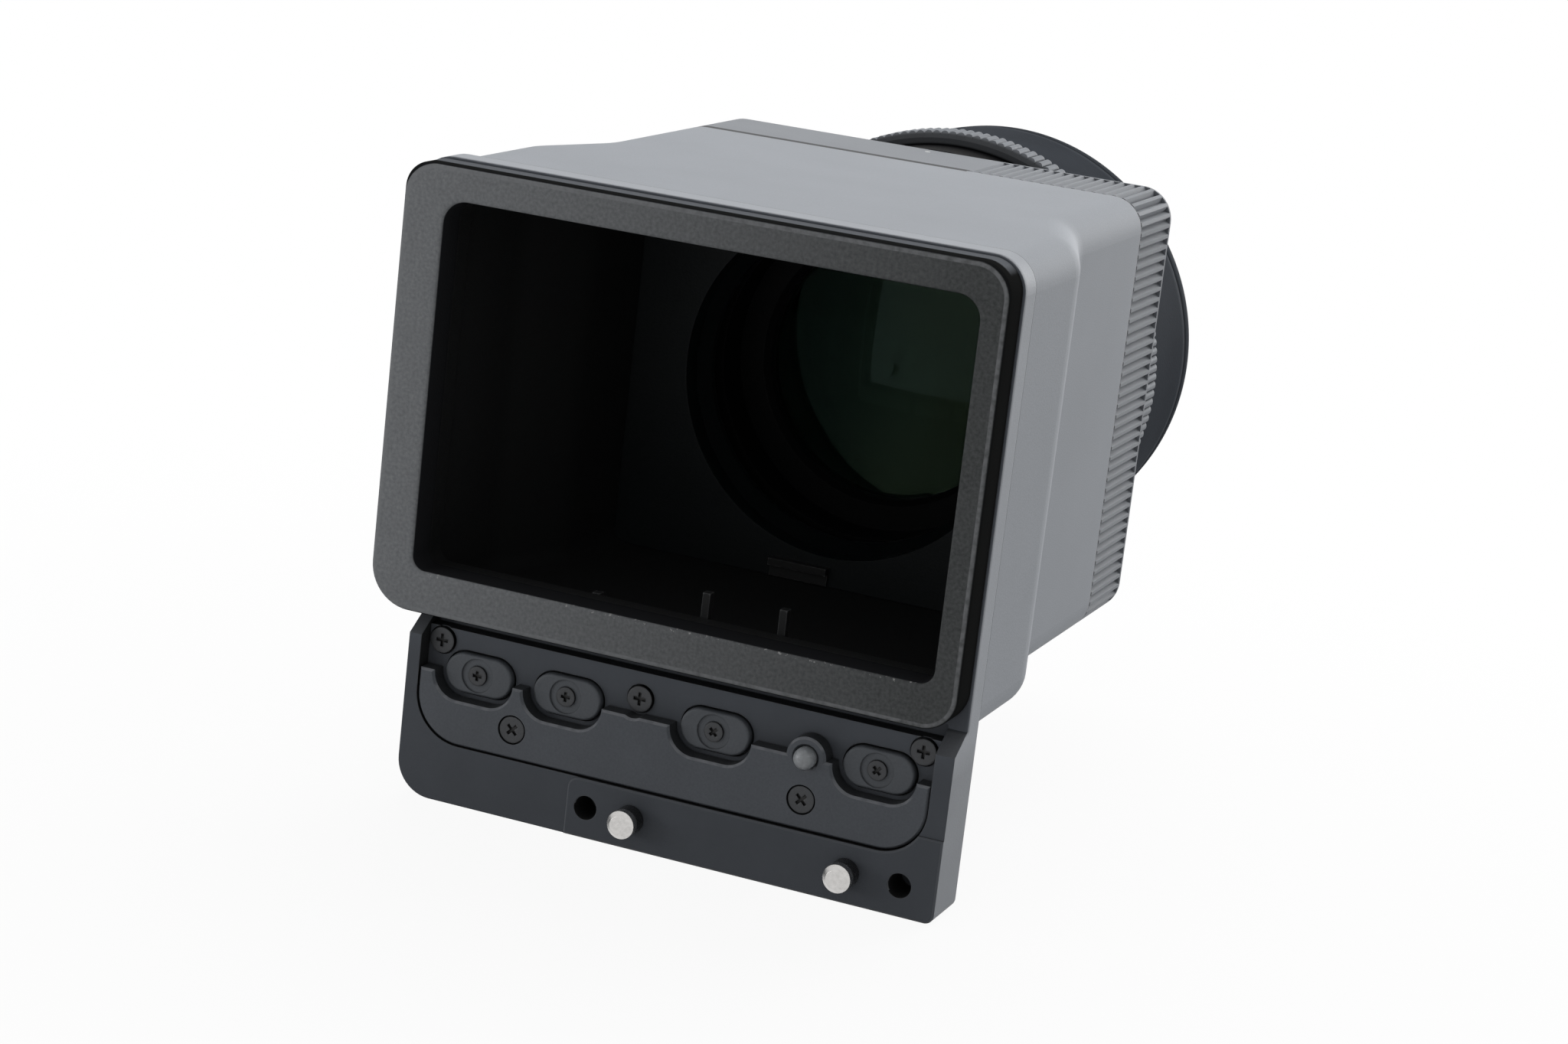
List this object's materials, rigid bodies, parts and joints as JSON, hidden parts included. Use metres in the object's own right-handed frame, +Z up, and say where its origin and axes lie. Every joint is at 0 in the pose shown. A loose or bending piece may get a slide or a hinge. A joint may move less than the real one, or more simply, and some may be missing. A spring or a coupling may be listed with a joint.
{
  "type": "lcd viewfinder loupe",
  "caption": "Screen viewfinder loupe: gasketed hood on a hooked mount plate, tapering housing, focusing eyepiece with a knurled diopter ring and a round rubber eyecup.",
  "frame": {"origin": "centre of the screen window, on the front face of the gasket", "axes": "+X to the right of the gasket face as one looks into the window, +Y back along the optical axis towards the eye, +Z up, away from the mount plate"},
  "size_m": [0.0797, 0.116, 0.0831],
  "materials": {
    "housing_grey": "fine matte grained paint",
    "dark_metal": "matte dark paint",
    "plate_black": "satin black",
    "gasket_rubber": "mottled matte",
    "pad_black": "satin",
    "screw_black": "blackened steel",
    "plunger_grey": "satin",
    "spring_steel": "drawn wire",
    "bright_nickel": "polished, lightly scuffed",
    "inner_black": "flat anti-glare black",
    "barrel_black": "black anodised",
    "ring_black": "dark anodised, satin",
    "coated_glass": "green and amber anti-reflection coating",
    "cup_rubber": "smooth matte"
  },
  "bodies": {
    "housing": {"front_frame": "dark_metal", "face_gasket": "gasket_rubber", "housing_shell": "housing_grey", "rear_cover": "housing_grey", "cover_plate": "plate_black", "hook_pad_1": "pad_black", "hook_pad_2": "pad_black", "hook_pad_3": "pad_black", "hook_pad_4": "pad_black", "pad_screws": "screw_black", "frame_screws": "screw_black", "upper_frame_screws": "screw_black", "cover_screws": "screw_black", "plunger_spring": "spring_steel", "plunger_cap": "screw_black", "guide_pins": "bright_nickel", "pin_collars": "pad_black", "light_baffle": "inner_black", "baffle_clip": "inner_black", "lens_barrel": "barrel_black", "barrel_screws": "screw_black", "shell_screws": "screw_black", "ring_retainer": "barrel_black", "eyecup_mount": "barrel_black", "eyecup": "cup_rubber"},
    "plunger": {"lock_plunger": "plunger_grey"},
    "focus_ring": {"diopter_ring": "ring_black"},
    "lens_cell": {"lens_carrier": "barrel_black", "cam_pins": "spring_steel", "front_lens": "coated_glass", "middle_lens": "coated_glass", "rear_lens": "coated_glass", "lens_spacer": "barrel_black", "front_retaining_ring": "barrel_black", "rear_retaining_ring": "barrel_black"}
  },
  "joints": [
    {"name": "diopter_turn", "type": "hinge", "parent": "housing", "child": "focus_ring", "pos_m": [0, 0.088, -0.00178], "axis": [0, 1, 0], "range_deg": [-60, 60]},
    {"name": "carrier_slide", "type": "slide", "parent": "housing", "child": "lens_cell", "axis": [0, 1, 0], "range_m": [-0.0025, 0.0025]},
    {"name": "plunger_press", "type": "slide", "parent": "housing", "child": "plunger", "axis": [0, 1, 0], "range_m": [0, 0.0011], "stiffness_N_per_m": 300, "springref_m": -0.0005, "deforming": ["plunger_spring"]}
  ],
  "couplings": [
    {"joint": "carrier_slide", "follows": "diopter_turn", "m_per_rad": 0.0023873}
  ]
}
